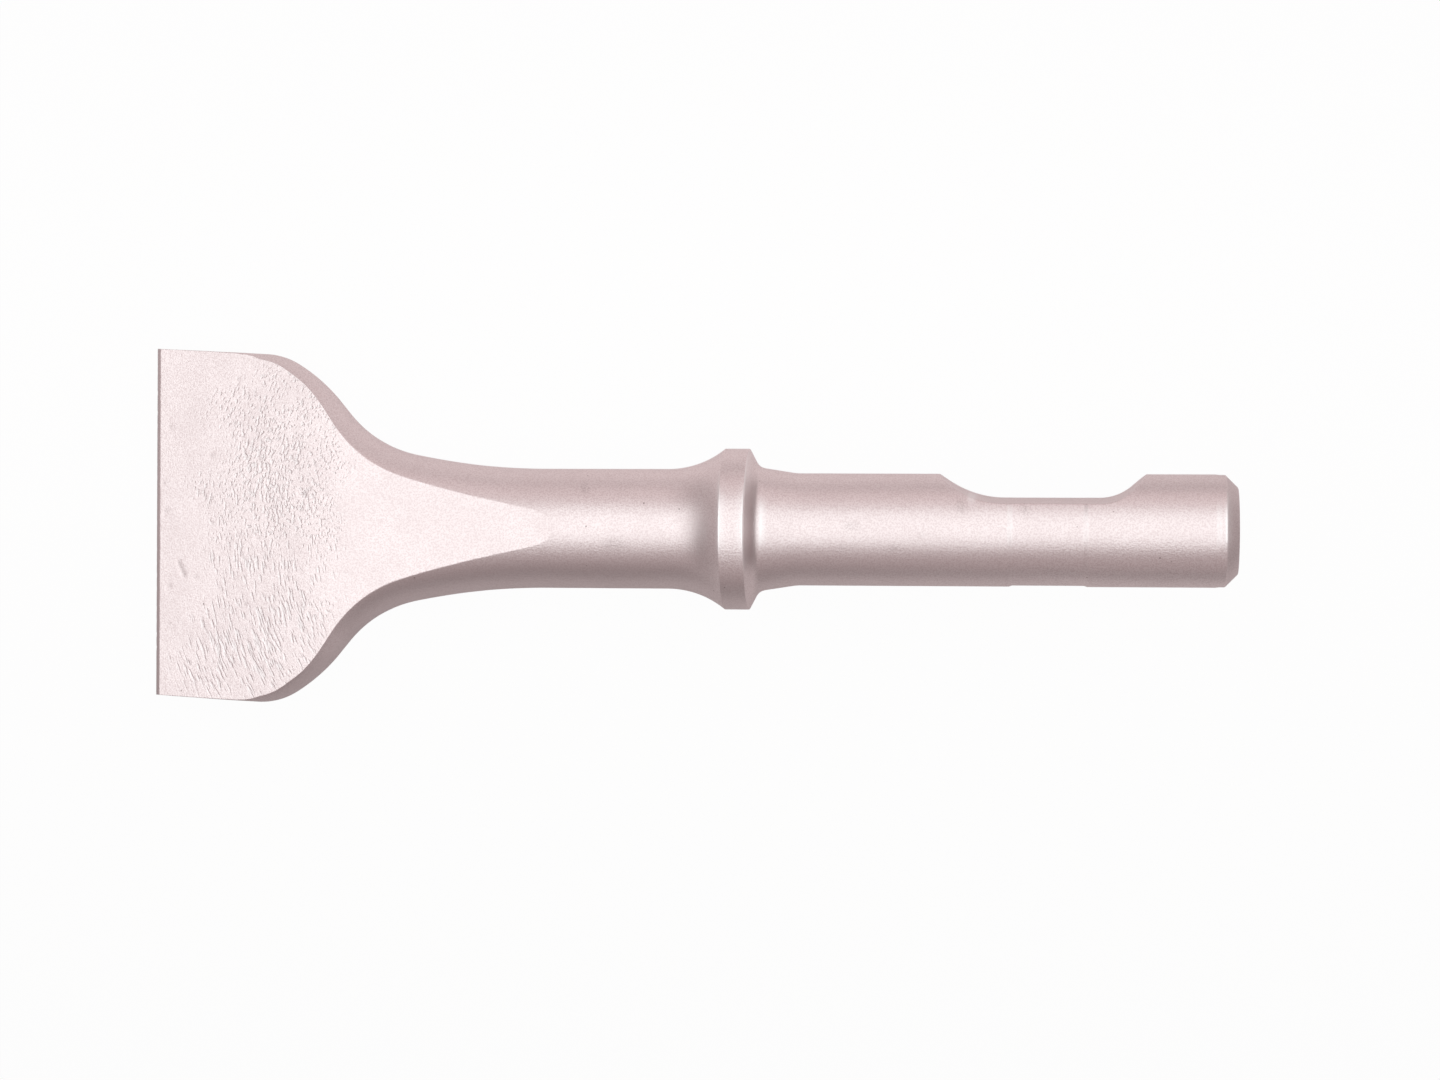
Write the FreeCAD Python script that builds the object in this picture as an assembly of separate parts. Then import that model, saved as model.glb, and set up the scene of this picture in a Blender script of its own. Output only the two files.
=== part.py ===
import FreeCAD, Part
import math
import os

# Wide chisel for a hammer: one steel forging, with no joints.
# A round neck fans out into a flat fishtail blade at one end. Behind the neck stand a
# collar and a round shank, which has a notch in its side for the hammer's retainer.
# All lengths are in millimetres. Stations are measured along the tool's axis from the
# cutting edge, and the tool is drawn with that axis on X before it is laid down.

# Blade, seen from above
blade_width = 80.0
notched_side_lean_deg = 2.7
plain_side_lean_deg = -3.5
lean_centre_from_edge = 21.4
blade_root_from_edge = 90.7
fan_radius = 144.0
fan_end_deg = 12.2
throat_radius = 27.0
throat_end_deg = 51.0
shoulder_radius = 40.0
shoulder_end_deg = 32.0
corner_radius = 15.0

# Blade, seen from the side: half thicknesses of its two flats
edge_land_half = 0.15
edge_bevel_length = 0.9
edge_bevel_half = 1.15
belly_from_edge = 42.0
belly_half = 9.6
belly_blend_radius = 100.0
run_out_from_edge = 91.0
run_out_half = 13.1
flat_tip_from_edge = 94.4

# Neck and collar
neck_radius = 13.6
flare_radius = 21.0
collar_radius = 18.25
collar_front_from_edge = 131.75
collar_width = 5.45
collar_edge_round = 0.25
collar_back_length = 2.2
collar_back_radius = 14.05
collar_back_fillet = 2.8

# Shank
shank_radius = 12.7
shank_start_from_edge = 148.0
shank_start_blend = 12.0
relief_start_from_edge = 195.8
relief_end_from_edge = 213.4
relief_depth = 0.25
lead_from_edge = 241.9
lead_depth = 0.1
step_length = 0.4
overall_length = 246.9
end_chamfer = 2.9
end_chamfer_round = 0.4
end_face_round = 0.6

# Retainer notch in the shank's side
notch_floor_height = 6.75
notch_floor_start_from_edge = 194.6
notch_floor_end_from_edge = 216.2
notch_run_in_radius = 20.5
notch_run_out_radius = 10.5
notch_run_out_deg = 44.0
notch_clock_deg = 4.3

# Room that the cutting solids take past what they cut
cut_room = 2.0
side_room = 0.6
root_room = 0.1

UP = FreeCAD.Vector(0, 0, 1)
AXIS = FreeCAD.Vector(1, 0, 0)
ACROSS = FreeCAD.Vector(0, 1, 0)
ORIGIN = FreeCAD.Vector(0, 0, 0)


def outward(heading_deg):
    """Unit vector square to a path that heads for the cutting edge, pointing off the axis."""
    heading = math.radians(heading_deg)
    return FreeCAD.Vector(math.sin(heading), math.cos(heading), 0)


def forward(heading_deg):
    """Unit vector along a path that heads for the cutting edge and opens by heading_deg."""
    heading = math.radians(heading_deg)
    return FreeCAD.Vector(-math.cos(heading), math.sin(heading), 0)


def arc_piece(start, radius, from_deg, to_deg):
    """One bend of the outline. It is hollow where the heading opens, and round where it closes."""
    hollow = 1 if to_deg > from_deg else -1
    centre = start + outward(from_deg) * (hollow * radius)
    end = centre - outward(to_deg) * (hollow * radius)
    return {"start": start, "end": end, "centre": centre, "hollow": hollow,
            "from_deg": from_deg, "to_deg": to_deg}


def line_piece(start, heading_deg, length):
    """One straight stretch of the outline."""
    end = start + forward(heading_deg) * length
    return {"start": start, "end": end, "centre": None, "hollow": 0,
            "from_deg": heading_deg, "to_deg": heading_deg}


def shoulder_pieces(start, lean_deg):
    """The two round bends that lead a shoulder into the blade's straight side."""
    shoulder = arc_piece(start, shoulder_radius, throat_end_deg, shoulder_end_deg)
    corner = arc_piece(shoulder["end"], corner_radius, shoulder_end_deg, lean_deg)
    return [shoulder, corner]


def side_outline(lean_deg):
    """Outline of one side, from the blade's root to past the cutting edge, as tangent pieces.

    The straight stretch between throat and shoulder gets the length that brings the
    blade's side to half its width where the blade is centred on the axis.
    """
    root = FreeCAD.Vector(blade_root_from_edge, neck_radius, 0)
    fan = arc_piece(root, fan_radius, 0.0, fan_end_deg)
    throat = arc_piece(fan["end"], throat_radius, fan_end_deg, throat_end_deg)
    side_point = FreeCAD.Vector(lean_centre_from_edge, blade_width / 2, 0)
    side_normal = outward(lean_deg)
    corner_end = shoulder_pieces(throat["end"], lean_deg)[-1]["end"]
    missing = (side_point - corner_end).dot(side_normal)
    ramp_length = missing / forward(throat_end_deg).dot(side_normal)
    ramp = line_piece(throat["end"], throat_end_deg, ramp_length)
    shoulder, corner = shoulder_pieces(ramp["end"], lean_deg)
    side_length = corner["end"].x / math.cos(math.radians(lean_deg)) + cut_room
    side = line_piece(corner["end"], lean_deg, side_length)
    return [fan, throat, ramp, shoulder, corner, side]


def grown_edge(piece, growth):
    """A piece of the outline as an edge, moved outwards by growth."""
    start = piece["start"] + outward(piece["from_deg"]) * growth
    end = piece["end"] + outward(piece["to_deg"]) * growth
    if piece["centre"] is None:
        return Part.LineSegment(start, end).toShape()
    middle_deg = (piece["from_deg"] + piece["to_deg"]) / 2
    spoke = (start - piece["centre"]).Length
    middle = piece["centre"] - outward(middle_deg) * (piece["hollow"] * spoke)
    return Part.Arc(start, middle, end).toShape()


def mirrored_over_axis(shape):
    """The same shape on the other side of the tool's axis."""
    return shape.mirror(ORIGIN, ACROSS)


def plate_blank(half_thickness, side_a, side_b):
    """Flat plate with straight walls, a little wider than the blade all round."""
    edges_a = [grown_edge(piece, side_room) for piece in side_a]
    edges_b = [mirrored_over_axis(grown_edge(piece, side_room)) for piece in side_b]
    root_a = edges_a[0].firstVertex().Point
    root_b = FreeCAD.Vector(root_a.x, -root_a.y, 0)
    tip_a = side_a[-1]["end"] + outward(side_a[-1]["to_deg"]) * side_room
    tip_b = side_b[-1]["end"] + outward(side_b[-1]["to_deg"]) * side_room
    tip_b = FreeCAD.Vector(tip_b.x, -tip_b.y, 0)
    closing = [Part.LineSegment(root_a, root_b).toShape(), Part.LineSegment(tip_a, tip_b).toShape()]
    wire = Part.Wire(Part.__sortEdges__(edges_a + edges_b + closing))
    plate = Part.Face(wire).extrude(UP * (2 * half_thickness))
    plate.translate(UP * -half_thickness)
    reach = blade_root_from_edge
    half_width = blade_width
    keep = Part.makeBox(reach, 2 * half_width, 2 * half_thickness,
                        FreeCAD.Vector(0, -half_width, -half_thickness))
    return plate.common(keep)


def wall_profile(piece, half_height):
    """Section of what lies outside the round side wall, square to the piece at its start.

    The wall is part of a circle of the neck's radius that touches the outline.
    """
    out = outward(piece["from_deg"])
    on_wall = piece["start"]
    hub = on_wall - out * neck_radius
    run = math.sqrt(neck_radius ** 2 - half_height ** 2)
    low = hub + out * run - UP * half_height
    high = hub + out * run + UP * half_height
    beyond = neck_radius - run + side_room + cut_room
    wall = Part.Arc(low, on_wall, high).toShape()
    top = Part.LineSegment(high, high + out * beyond).toShape()
    back = Part.LineSegment(high + out * beyond, low + out * beyond).toShape()
    bottom = Part.LineSegment(low + out * beyond, low).toShape()
    return Part.Face(Part.Wire([wall, top, back, bottom]))


def wall_cutter(piece, half_height):
    """What lies outside the round side wall along one piece of the outline."""
    profile = wall_profile(piece, half_height)
    if piece["centre"] is None:
        return profile.extrude(piece["end"] - piece["start"])
    turn = piece["to_deg"] - piece["from_deg"]
    return profile.revolve(piece["centre"], UP, -turn)


def side_cutters(side, root_height, shoulder_height):
    """The cutters of one side. Those round the shoulder are lower than the neck is."""
    cutters = []
    for piece in side:
        at_shoulder = piece["hollow"] < 0 or piece is side[-1]
        height = shoulder_height if at_shoulder else root_height
        cutters.append(wall_cutter(piece, height))
    return cutters


def blade_blank():
    """The blade before its flats are cut: a plate whose side walls are full rounds."""
    side_a = side_outline(notched_side_lean_deg)
    side_b = side_outline(plain_side_lean_deg)
    root_half = (run_out_half + neck_radius) / 2
    root_height = root_half + root_room
    shoulder_height = belly_half + cut_room
    plate = plate_blank(root_half, side_a, side_b)
    cutters = side_cutters(side_a, root_height, shoulder_height)
    for cutter in side_cutters(side_b, root_height, shoulder_height):
        cutters.append(mirrored_over_axis(cutter))
    for cutter in cutters:
        plate = plate.cut(cutter)
    return plate


def rounded_chain(corners):
    """Edges through corners given as (x, y, round). A round of zero leaves the corner sharp."""
    edges = []
    here = FreeCAD.Vector(corners[0][0], corners[0][1], 0)
    for index in range(1, len(corners)):
        corner = FreeCAD.Vector(corners[index][0], corners[index][1], 0)
        radius = corners[index][2]
        if radius == 0 or index == len(corners) - 1:
            edges.append(Part.LineSegment(here, corner).toShape())
            here = corner
            continue
        following = FreeCAD.Vector(corners[index + 1][0], corners[index + 1][1], 0)
        into = (corner - here).normalize()
        out_of = (following - corner).normalize()
        half_turn = into.getAngle(out_of) / 2
        setback = radius * math.tan(half_turn)
        touch_in = corner - into * setback
        touch_out = corner + out_of * setback
        inward = (out_of - into).normalize()
        middle = corner + inward * (radius / math.cos(half_turn) - radius)
        edges.append(Part.LineSegment(here, touch_in).toShape())
        edges.append(Part.Arc(touch_in, middle, touch_out).toShape())
        here = touch_out
    return edges


def bar_profile():
    """Half section of the turned bar, from the blade's root to the struck end."""
    collar_back = collar_front_from_edge + collar_width
    cone_end = collar_back + collar_back_length
    relief_radius = shank_radius - relief_depth
    lead_radius = shank_radius - lead_depth
    chamfer_start = overall_length - end_chamfer
    flare_rise = collar_radius - neck_radius
    flare_length = math.sqrt(2 * flare_radius * flare_rise - flare_rise ** 2)
    flare_start = collar_front_from_edge - flare_length
    half_length = flare_length / 2
    sag_angle = math.asin(half_length / flare_radius)
    flare_middle = neck_radius + flare_radius * (1 - math.cos(sag_angle))
    neck = Part.LineSegment(FreeCAD.Vector(blade_root_from_edge, neck_radius, 0),
                            FreeCAD.Vector(flare_start, neck_radius, 0)).toShape()
    flare = Part.Arc(FreeCAD.Vector(flare_start, neck_radius, 0),
                     FreeCAD.Vector(flare_start + half_length, flare_middle, 0),
                     FreeCAD.Vector(collar_front_from_edge, collar_radius, 0)).toShape()
    rest = rounded_chain([
        (collar_front_from_edge, collar_radius, 0),
        (collar_back, collar_radius, collar_edge_round),
        (cone_end, collar_back_radius, collar_back_fillet),
        (shank_start_from_edge, shank_radius, shank_start_blend),
        (relief_start_from_edge, shank_radius, 0),
        (relief_start_from_edge + step_length, relief_radius, 0),
        (relief_end_from_edge - step_length, relief_radius, 0),
        (relief_end_from_edge, shank_radius, 0),
        (lead_from_edge, shank_radius, 0),
        (lead_from_edge + step_length, lead_radius, 0),
        (chamfer_start, lead_radius, end_chamfer_round),
        (overall_length, lead_radius - end_chamfer, end_face_round),
        (overall_length, 0, 0),
        (blade_root_from_edge, 0, 0),
        (blade_root_from_edge, neck_radius, 0),
    ])
    return Part.Face(Part.Wire([neck, flare] + rest))


def turned_bar():
    """Neck, flare, collar and shank as one turned body."""
    return bar_profile().revolve(ORIGIN, AXIS, 360)


def flat_cutter():
    """What lies above the upper flat: bevel, blade, belly, neck side and run-out in turn."""
    bevel_slope = (edge_bevel_half - edge_land_half) / edge_bevel_length
    run_out_slope = (neck_radius - run_out_half) / (flat_tip_from_edge - run_out_from_edge)
    high = neck_radius + cut_room
    beyond_tip = flat_tip_from_edge + cut_room / run_out_slope
    corners = [
        (-cut_room, edge_land_half - cut_room * bevel_slope, 0),
        (edge_bevel_length, edge_bevel_half, 0),
        (belly_from_edge, belly_half, belly_blend_radius),
        (run_out_from_edge, run_out_half, 0),
        (beyond_tip, high, 0),
        (-cut_room, high, 0),
        (-cut_room, edge_land_half - cut_room * bevel_slope, 0),
    ]
    profile = Part.Face(Part.Wire(rounded_chain(corners)))
    profile.rotate(ORIGIN, AXIS, 90)
    cutter = profile.extrude(ACROSS * (2 * blade_width))
    cutter.translate(ACROSS * -blade_width)
    return cutter


def notch_cutter():
    """What the retainer notch takes out of the shank's side."""
    above = shank_radius + cut_room - notch_floor_height
    run_in_length = math.sqrt(2 * notch_run_in_radius * above - above ** 2)
    run_in_turn = math.asin(run_in_length / notch_run_in_radius)
    half_length = notch_run_in_radius * math.sin(run_in_turn / 2)
    half_rise = notch_run_in_radius * (1 - math.cos(run_in_turn / 2))
    run_in_top = FreeCAD.Vector(notch_floor_start_from_edge - run_in_length,
                                notch_floor_height + above, 0)
    run_in_middle = FreeCAD.Vector(notch_floor_start_from_edge - half_length,
                                   notch_floor_height + half_rise, 0)
    floor_start = FreeCAD.Vector(notch_floor_start_from_edge, notch_floor_height, 0)
    run_in = Part.Arc(run_in_top, run_in_middle, floor_start).toShape()
    turn = math.radians(notch_run_out_deg)
    ramp_foot = notch_floor_end_from_edge + notch_run_out_radius * math.tan(turn / 2)
    ramp_top = ramp_foot + above / math.tan(turn)
    rest = rounded_chain([
        (notch_floor_start_from_edge, notch_floor_height, 0),
        (ramp_foot, notch_floor_height, notch_run_out_radius),
        (ramp_top, notch_floor_height + above, 0),
        (run_in_top.x, run_in_top.y, 0),
    ])
    profile = Part.Face(Part.Wire([run_in] + rest))
    cutter = profile.extrude(UP * (2 * shank_radius + 2 * cut_room))
    cutter.translate(UP * -(shank_radius + cut_room))
    cutter.rotate(ORIGIN, AXIS, notch_clock_deg)
    return cutter


def lie_angle():
    """How far the axis rises to the struck end when belly and collar touch the ground.

    The ground touches the belly's blend circle and passes through the collar's front edge.
    """
    blade_slope = math.atan((belly_half - edge_bevel_half) / (belly_from_edge - edge_bevel_length))
    neck_slope = math.atan((run_out_half - belly_half) / (run_out_from_edge - belly_from_edge))
    middle = (blade_slope + neck_slope) / 2
    reach = belly_blend_radius / math.cos((blade_slope - neck_slope) / 2)
    hub_along = belly_from_edge + reach * math.sin(middle)
    hub_above = reach * math.cos(middle) - belly_half
    along = hub_along - collar_front_from_edge
    above = hub_above + collar_radius
    distance = math.hypot(along, above)
    return math.degrees(math.atan2(along, above) + math.acos(belly_blend_radius / distance))


def laid_down(shape):
    """The chisel as it rests, with the middle of its box over the origin."""
    angle = lie_angle()
    shape.rotate(ORIGIN, ACROSS, -angle)
    tilt = math.radians(angle)
    lift = collar_radius * math.cos(tilt) - collar_front_from_edge * math.sin(tilt)
    box = shape.optimalBoundingBox(False, False)
    shape.translate(FreeCAD.Vector(-box.Center.x, -box.Center.y, lift))
    return shape


def chisel():
    """The whole forging."""
    body = blade_blank().fuse(turned_bar())
    top = flat_cutter()
    bottom = top.mirror(ORIGIN, UP)
    body = body.cut(top)
    body = body.cut(bottom)
    body = body.cut(notch_cutter())
    body = body.removeSplitter()
    return laid_down(body.Solids[0])


os.makedirs("parts", exist_ok=True)
part = chisel()
part.exportStep("parts/wide_chisel.step")
box = part.BoundBox
print("solids", len(part.Solids), "valid", part.isValid(), "faces", len(part.Faces))
print("lie angle", round(lie_angle(), 3), "volume", round(part.Volume, 1))
print("box", [round(value, 3) for value in (box.XMin, box.XMax, box.YMin, box.YMax, box.ZMin, box.ZMax)])
print("centre of mass", part.CenterOfMass)
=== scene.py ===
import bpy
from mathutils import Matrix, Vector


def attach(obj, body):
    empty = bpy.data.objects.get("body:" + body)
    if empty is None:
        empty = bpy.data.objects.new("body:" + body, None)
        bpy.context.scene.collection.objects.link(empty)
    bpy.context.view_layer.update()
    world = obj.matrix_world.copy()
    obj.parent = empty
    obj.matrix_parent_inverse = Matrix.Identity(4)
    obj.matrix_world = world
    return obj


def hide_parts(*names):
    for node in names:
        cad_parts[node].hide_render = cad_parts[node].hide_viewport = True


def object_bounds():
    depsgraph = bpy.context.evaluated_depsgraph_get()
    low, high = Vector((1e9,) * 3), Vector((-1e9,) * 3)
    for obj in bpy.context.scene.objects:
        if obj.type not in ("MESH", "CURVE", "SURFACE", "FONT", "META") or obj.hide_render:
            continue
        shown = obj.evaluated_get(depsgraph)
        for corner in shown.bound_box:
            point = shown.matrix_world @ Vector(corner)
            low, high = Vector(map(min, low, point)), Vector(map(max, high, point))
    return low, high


bl_info = {
    "name": "Wide Chisel",
    "version": (1, 0, 0),
    "blender": (4, 5, 0),
    "location": "3D View > Sidebar > Chisel",
    "description": "A forged wide chisel in blasted steel, lying on a plain studio floor",
    "category": "Add Mesh",
}

import bmesh
import bpy
import math
import numpy as np
from bpy.props import FloatProperty, FloatVectorProperty, IntProperty, PointerProperty
from bpy.types import Operator, Panel, PropertyGroup
from types import SimpleNamespace

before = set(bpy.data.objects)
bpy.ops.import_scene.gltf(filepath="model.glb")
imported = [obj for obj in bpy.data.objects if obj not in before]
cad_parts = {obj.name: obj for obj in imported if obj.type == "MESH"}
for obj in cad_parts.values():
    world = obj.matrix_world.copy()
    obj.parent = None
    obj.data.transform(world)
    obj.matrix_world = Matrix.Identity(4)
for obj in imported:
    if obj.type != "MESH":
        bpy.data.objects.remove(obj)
cad_low, cad_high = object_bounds()

# Shapes are worked out in millimetres in the tool's own frame: x is the station, counted
# along the axis from the cutting edge, y is across the blade and z is square to its plane.
# The last step lays the tool down where the frame has it, in metres.
MM = 0.001
NODE = "wide_chisel"
QUARTER_TURN = math.pi / 2
# Signs of y on the notched and the plain side, and of z on the upper and the lower side
NOTCHED, PLAIN = 1, -1
UPPER, LOWER = 1, -1
# Two stations closer than this are one, and so are two points closer than the weld
SAME = 1e-6
WELD = 1e-4

# Rows over the bevel as shares of its length, and the stations where the rows of the
# blade's face and of the neck's side end
BEVEL_ROWS = (0.0, 0.3, 0.6, 0.82, 0.94, 1.06, 1.25, 1.6)
FACE_END = 50.0
SIDE_END = 87.0
FACE_ROWS = 104
SIDE_ROWS = 44
TIP_ROWS = 16
FLARE_ROWS = 14
STRUCK_FACE_ROWS = 7
# Widest gaps between the rows of the bar and of its notch, and the rows that close in on
# each end of the notch, with the length that they take
BAR_GAP = 1.7
NOTCH_GAP = 0.9
CLOSING_ROWS = 6
CLOSING_LENGTH = 3.0
# Columns of one quarter of the walls, of a flat and of the notch
WALL_COLUMNS = 28
FLAT_COLUMNS = 160
NOTCH_COLUMNS = 24
# The flare's last row stands a little before the rounded rim of the band
FLARE_SHARE = 0.985
# The seam begins to turn with the notch this far behind the flat's tip, and has turned in
# full twice as far in front of the notch
CLOCK_ROOM = 5.0


def length(name, description, millimetres):
    """A length property, stored in metres and written here in millimetres."""
    return FloatProperty(name=name, description=description, default=millimetres * MM,
                         unit="LENGTH", precision=5)


def angle(name, description, degrees):
    """An angle property, stored in radians and written here in degrees."""
    return FloatProperty(name=name, description=description, default=math.radians(degrees),
                         subtype="ANGLE", unit="ROTATION")


def share(name, description, value):
    """A plain number from 0 to 1."""
    return FloatProperty(name=name, description=description, default=value, min=0.0, max=1.0,
                         subtype="FACTOR")


def colour(name, description, red, green, blue):
    """A colour property in linear light."""
    return FloatVectorProperty(name=name, description=description, default=(red, green, blue),
                               size=3, min=0.0, max=1.0, subtype="COLOR")


def power(name, description, watts):
    """A lamp's power in watts."""
    return FloatProperty(name=name, description=description, default=watts, min=0.0,
                         unit="POWER")


class ChiselBladeSizes(PropertyGroup):
    """The blade's outline from above and its two flats from the side."""

    width: length("Width", "Width of the blade near its cutting edge", 80.0)
    lean: angle("Lean", "How far the notched side opens towards the edge", 2.7)
    plain_lean: angle("Plain lean", "How far the other side closes towards the edge", 3.5)
    lean_centre: length("Lean centre", "Station where the leaning blade is centred", 21.4)
    root: length("Root", "Station where the fan leaves the round neck", 90.7)
    fan_radius: length("Fan radius", "Long hollow bend between neck and throat", 144.0)
    fan_end: angle("Fan end", "Heading where the fan meets the throat", 12.2)
    throat_radius: length("Throat radius", "Short hollow bend in front of the shoulder", 27.0)
    throat_end: angle("Throat end", "Heading of the straight ramp behind the shoulder", 51.0)
    shoulder_radius: length("Shoulder radius", "First round bend of the shoulder", 40.0)
    shoulder_end: angle("Shoulder end", "Heading between the shoulder's two bends", 32.0)
    corner_radius: length("Corner radius", "Last round bend into the blade's side", 15.0)
    land_half: length("Edge land", "Half thickness of the cutting edge itself", 0.15)
    bevel_length: length("Bevel length", "Length of the small bevel at the edge", 0.9)
    bevel_half: length("Bevel half", "Half thickness where the bevel ends", 1.15)
    bevel_blend: length("Bevel blend", "Length over which the bevel rounds into the flat", 0.22)
    belly: length("Belly", "Station where the two slopes of the flat would meet", 42.0)
    belly_half: length("Belly half", "Half thickness where the two slopes would meet", 9.6)
    belly_radius: length("Belly radius", "Round between the two slopes", 100.0)
    run_out: length("Run-out", "Station where the flat steepens towards its tip", 91.0)
    run_out_half: length("Run-out half", "Half thickness at the run-out", 13.1)
    run_out_blend: length("Run-out blend", "Length over which the run-out steepens", 5.0)
    tip: length("Flat's tip", "Station where the flat ends on the round neck", 94.4)
    wall_swell: length("Wall swell", "How much fuller the side wall is at the throat", 3.4)
    wall_swell_at: length("Swell station", "Station of the fullest wall", 37.0)
    wall_swell_front: length("Swell front", "How fast the swell fades to the edge", 3.6)
    wall_swell_back: length("Swell back", "How fast the swell fades to the neck", 9.0)
    trimmed: length("Trimmed", "How much flatter the trimmed wall is at the edge", 40.0)
    trimmed_from: length("Trimmed from", "Station where the wall begins to flatten", 26.0)
    trimmed_fade: length("Trimmed fade", "Length over which it flattens", 9.0)


class ChiselBarSizes(PropertyGroup):
    """Neck, collar and shank, which were turned."""

    neck_radius: length("Neck radius", "Radius of the round neck", 13.6)
    flare_radius: length("Flare radius", "Hollow bend that leads up to the collar", 21.0)
    collar_radius: length("Collar radius", "Radius of the collar's band", 18.25)
    collar_front: length("Collar front", "Station of the band's front edge", 131.75)
    collar_width: length("Collar width", "Width of the band", 5.45)
    collar_edge_round: length("Collar edge", "Rounding of the band's edges", 0.25)
    cone_length: length("Cone length", "Length of the cone behind the collar", 2.2)
    cone_radius: length("Cone radius", "Radius at the cone's foot", 14.05)
    cone_fillet: length("Cone fillet", "Fillet at the cone's foot", 2.8)
    shank_radius: length("Shank radius", "Radius of the shank", 12.7)
    shank_start: length("Shank start", "Station where the taper ends on the shank", 148.0)
    shank_blend: length("Shank blend", "Rounding of that end", 12.0)
    relief_start: length("Relief start", "Front of the shallow band in the shank", 195.8)
    relief_end: length("Relief end", "Back of the shallow band", 213.4)
    relief_depth: length("Relief depth", "Depth of the shallow band", 0.25)
    lead: length("Lead", "Station where the struck end gets thinner", 241.9)
    lead_depth: length("Lead depth", "How much thinner the struck end is", 0.1)
    step_length: length("Step length", "Length of each small step on the shank", 0.8)
    step_round: length("Step round", "Rounding of the small steps", 0.08)
    overall: length("Overall length", "Length of the whole tool", 246.9)
    chamfer: length("Chamfer", "Chamfer at the struck end", 2.9)
    chamfer_round: length("Chamfer round", "Rounding of the chamfer's ridge", 0.4)
    face_round: length("Face round", "Rounding at the struck face", 0.6)


class ChiselNotchSizes(PropertyGroup):
    """The retainer notch in the shank's side."""

    floor_height: length("Floor height", "Distance of the floor from the axis", 6.75)
    floor_start: length("Floor start", "Station where the floor begins", 194.6)
    floor_end: length("Floor end", "Station where the floor ends", 216.2)
    run_in: length("Run-in radius", "Hollow bend down to the floor", 20.5)
    run_out: length("Run-out radius", "Hollow bend from the floor to the ramp", 10.5)
    ramp: angle("Ramp", "Slope of the ramp at the back", 44.0)
    clock: angle("Clock", "How far the notch is turned up about the axis", 4.3)


class ChiselSurfaceSizes(PropertyGroup):
    """What forging, blasting and handling left on the steel, as shape."""

    crease_round: length("Crease round", "How far a crease is eased to each side", 0.17)
    swell_size: length("Swell size", "Size of the slow unevenness of the forging", 8.0)
    swell_depth: length("Swell depth", "Depth of that unevenness", 0.05)
    peel_size: length("Peel size", "Size of the orange peel", 1.7)
    peel_depth: length("Peel depth", "Depth of the orange peel", 0.012)
    wrinkle_pitch: length("Wrinkle pitch", "Distance from one wrinkle to the next", 1.5)
    wrinkle_length: length("Wrinkle length", "Length of a wrinkle along its arc", 4.2)
    wrinkle_depth: length("Wrinkle depth", "Depth of the wrinkles on the blade", 0.08)
    wrinkle_near: length("Wrinkles near", "Distance from the flat's tip where they begin", 49.0)
    wrinkle_far: length("Wrinkles far", "Distance from the flat's tip where they end", 80.0)
    wrinkle_fade: length("Wrinkle fade", "How gently they begin and end", 16.0)
    scratch_depth: length("Scratch depth", "Depth of the scratch, the deepest of the marks", 0.14)
    edge_wear: length("Edge wear", "How ragged the cutting edge is", 0.12)
    edge_wear_size: length("Edge wear size", "Size of one nick in the cutting edge", 1.5)
    seed: IntProperty(name="Seed", description="Start value of all the random marks", default=7)


class ChiselSteelLook(PropertyGroup):
    """The finish of the blasted steel, and the colours of its painted highlights and painted shade.
    """

    steel: colour("Steel", "Colour of the clean blasted steel", 0.88, 0.80, 0.80)
    dull: colour("Dull steel", "Colour of the duller grain", 0.745, 0.65, 0.65)
    # Colour of the painted highlights, the glints on rims and crease and the lit side of the folds,
    # and of the scuff
    highlight_and_scuff_colour: colour("Bare steel", "Colour of edges that handling has rubbed bright", 0.98, 0.96, 0.96)
    # Colour of smudges and pits, and also of the painted shade on flare, cone, chamfer, edge land
    # and plain side and in the folds
    smudge: colour("Smudges", "Colour of smudges and of scale left on", 0.54, 0.475, 0.475)
    speck: colour("Specks", "Colour of the dark specks", 0.36, 0.30, 0.29)
    patch_size: length("Patch size", "Size of the duller patches", 9.0)
    speck_size: length("Speck size", "Distance from one speck's place to the next", 2.6)
    roughness: share("Roughness", "Roughness of the blasted steel", 0.40)
    roughness_spread: share("Roughness spread", "How much the roughness varies", 0.012)
    grain_size: length("Grain size", "Size of the blasted grain", 0.36)
    grain_depth: length("Grain depth", "Depth of the blasted grain", 0.07)
    fold_pitch: length("Fold pitch", "Distance from one of the finest folds to the next", 0.48)
    fold_length: length("Fold length", "Length of the finest folds", 2.3)
    fold_depth: length("Fold depth", "Depth of the finest folds", 0.07)
    # Offset of the painted highlight beside each fold, which stands in for the fold's lit side
    fold_highlight_offset: length("Fold lip", "Distance from a fold to its rubbed lip", 0.24)


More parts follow.
